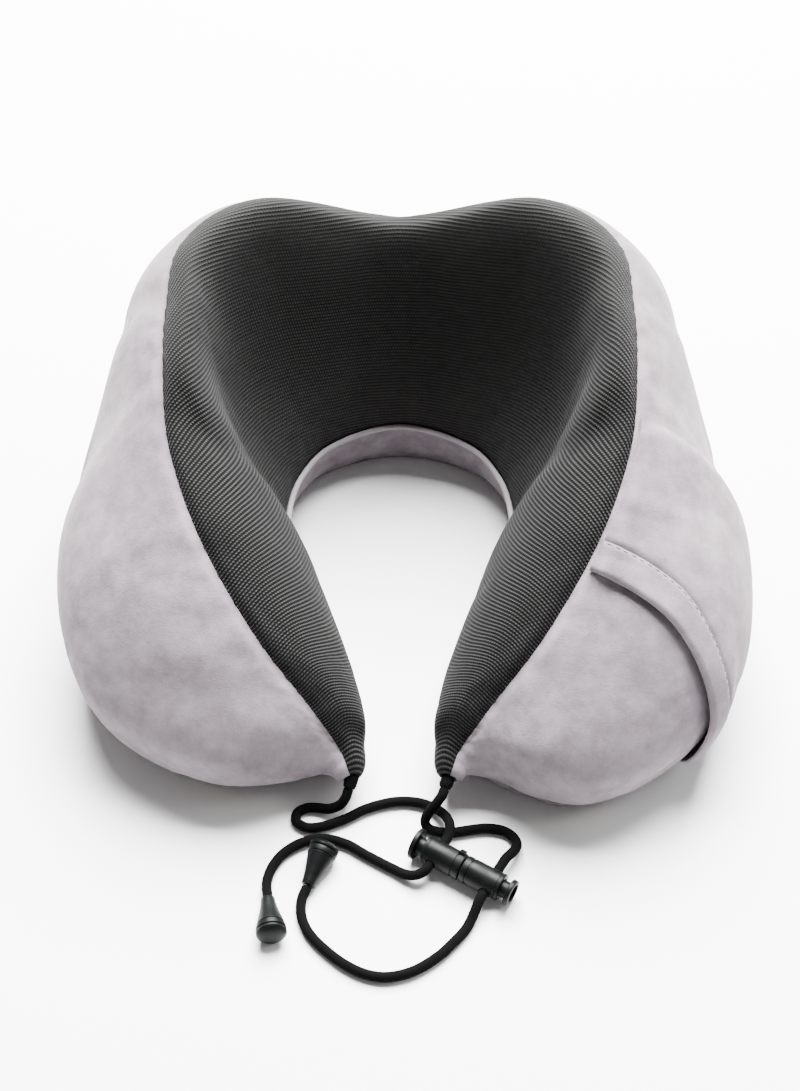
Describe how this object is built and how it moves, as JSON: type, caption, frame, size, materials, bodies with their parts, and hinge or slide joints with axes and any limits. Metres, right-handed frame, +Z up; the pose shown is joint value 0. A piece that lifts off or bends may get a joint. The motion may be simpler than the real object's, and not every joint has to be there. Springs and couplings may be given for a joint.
{
  "type": "u shaped neck pillow",
  "caption": "U shaped travel neck pillow with a raised back, foam core, zipped cover, side pocket and a cord lock on two front cords.",
  "frame": {"origin": "on the surface that the pillow rests on, under the middle of the pillow's box, cords left out", "axes": "+Z up, the pillow's shortest extent; +X across the pillow, its longest extent, towards the arm with the pocket; +Y towards the closed back of the U"},
  "size_m": [0.2733, 0.3062, 0.1419],
  "materials": {
    "memory_foam": "open cell memory foam",
    "charcoal_knit": "ribbed charcoal knit",
    "lilac_grey_velour": "short pile velour",
    "pale_trim": "rolled velour edge",
    "zip_tape": "woven zip tape",
    "zip_coil": "nylon zip coil",
    "zip_metal": "plated zinc",
    "black_cord": "braided black cord",
    "lock_plastic": "moulded dark plastic",
    "spring_steel": "spring steel"
  },
  "bodies": {
    "pillow": {"foam_core": "memory_foam", "neck_panel": "charcoal_knit", "side_panel_left": "lilac_grey_velour", "side_panel_right": "lilac_grey_velour", "base_panel": "lilac_grey_velour", "rim_piping": "pale_trim", "pocket_panel": "lilac_grey_velour", "pocket_hem": "lilac_grey_velour", "zip_tape_lower": "zip_tape", "zip_tape_upper": "zip_tape", "zip_chain": "zip_coil", "zip_stop_left": "zip_metal", "zip_stop_right": "zip_metal", "cord_stub_left": "black_cord", "cord_stub_right": "black_cord", "cord_left": "black_cord", "cord_right": "black_cord", "lock_barrel_left": "lock_plastic", "lock_barrel_right": "lock_plastic", "lock_spring_left": "spring_steel", "lock_spring_right": "spring_steel", "cord_bell_left": "lock_plastic", "cord_bell_right": "lock_plastic", "cord_plug_left": "lock_plastic", "cord_plug_right": "lock_plastic"},
    "zip_slider": {"zip_slider": "zip_metal"},
    "zip_pull": {"zip_pull": "zip_metal"},
    "lock_plunger_left": {"lock_plunger_left": "lock_plastic"},
    "lock_plunger_right": {"lock_plunger_right": "lock_plastic"}
  },
  "joints": [
    {"name": "zip_slide", "type": "hinge", "parent": "pillow", "child": "zip_slider", "pos_m": [0, -0.078, 0], "axis": [0, 0, -1], "range_deg": [0, 38.4]},
    {"name": "zip_pull_swing", "type": "hinge", "parent": "zip_slider", "child": "zip_pull", "pos_m": [-0.06307, 0.10312, 0.01372], "axis": [0.9444, 0.3289, 0], "range_deg": [0, 150]},
    {"name": "lock_button_left", "type": "slide", "parent": "pillow", "child": "lock_plunger_left", "axis": [0.8581, -0.5135, 0], "range_m": [0, 0.0025], "stiffness_N_per_m": 400, "springref_m": -0.002, "deforming": ["lock_spring_left"]},
    {"name": "lock_button_right", "type": "slide", "parent": "pillow", "child": "lock_plunger_right", "axis": [-0.8581, 0.5135, 0], "range_m": [0, 0.0025], "stiffness_N_per_m": 400, "springref_m": -0.002, "deforming": ["lock_spring_right"]}
  ]
}
